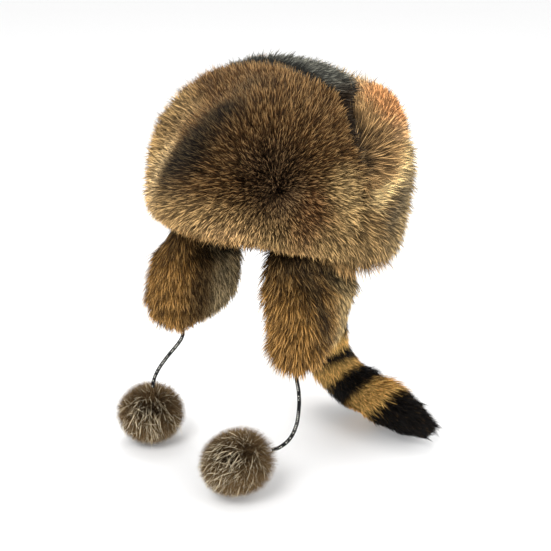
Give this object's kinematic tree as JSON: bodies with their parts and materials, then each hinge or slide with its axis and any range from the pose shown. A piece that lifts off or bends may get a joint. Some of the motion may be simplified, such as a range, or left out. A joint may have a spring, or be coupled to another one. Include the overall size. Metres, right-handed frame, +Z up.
{
  "type": "fur hat",
  "caption": "Deep-fur winter hat with rounded ears, hanging ear flaps, corded fur pompoms and a ringed tail.",
  "frame": {"origin": "middle of the head opening, at the rim of the hide, where a head goes in", "axes": "+Z up, the front of the hat towards -Y, the wearer's left towards +X; the crown leans 9 degrees back"},
  "size_m": [0.2727, 0.3011, 0.4132],
  "materials": {
    "hide": "suede",
    "brown_fur": "long fur",
    "grey_fur": "short fur",
    "ear_fur": "long fur",
    "tail_fur": "long fur",
    "pompom_fur": "long fur",
    "braid": "braided cord"
  },
  "bodies": {
    "root": {"crown_hide": "hide", "fur_front": "brown_fur", "fur_back": "brown_fur", "crown_strip": "grey_fur", "ear_left": "ear_fur", "ear_right": "ear_fur", "flap_left": "brown_fur", "flap_right": "brown_fur", "tail": "tail_fur", "cord_left": "braid", "cord_right": "braid", "pompom_left": "pompom_fur", "pompom_right": "pompom_fur"}
  },
  "joints": []
}
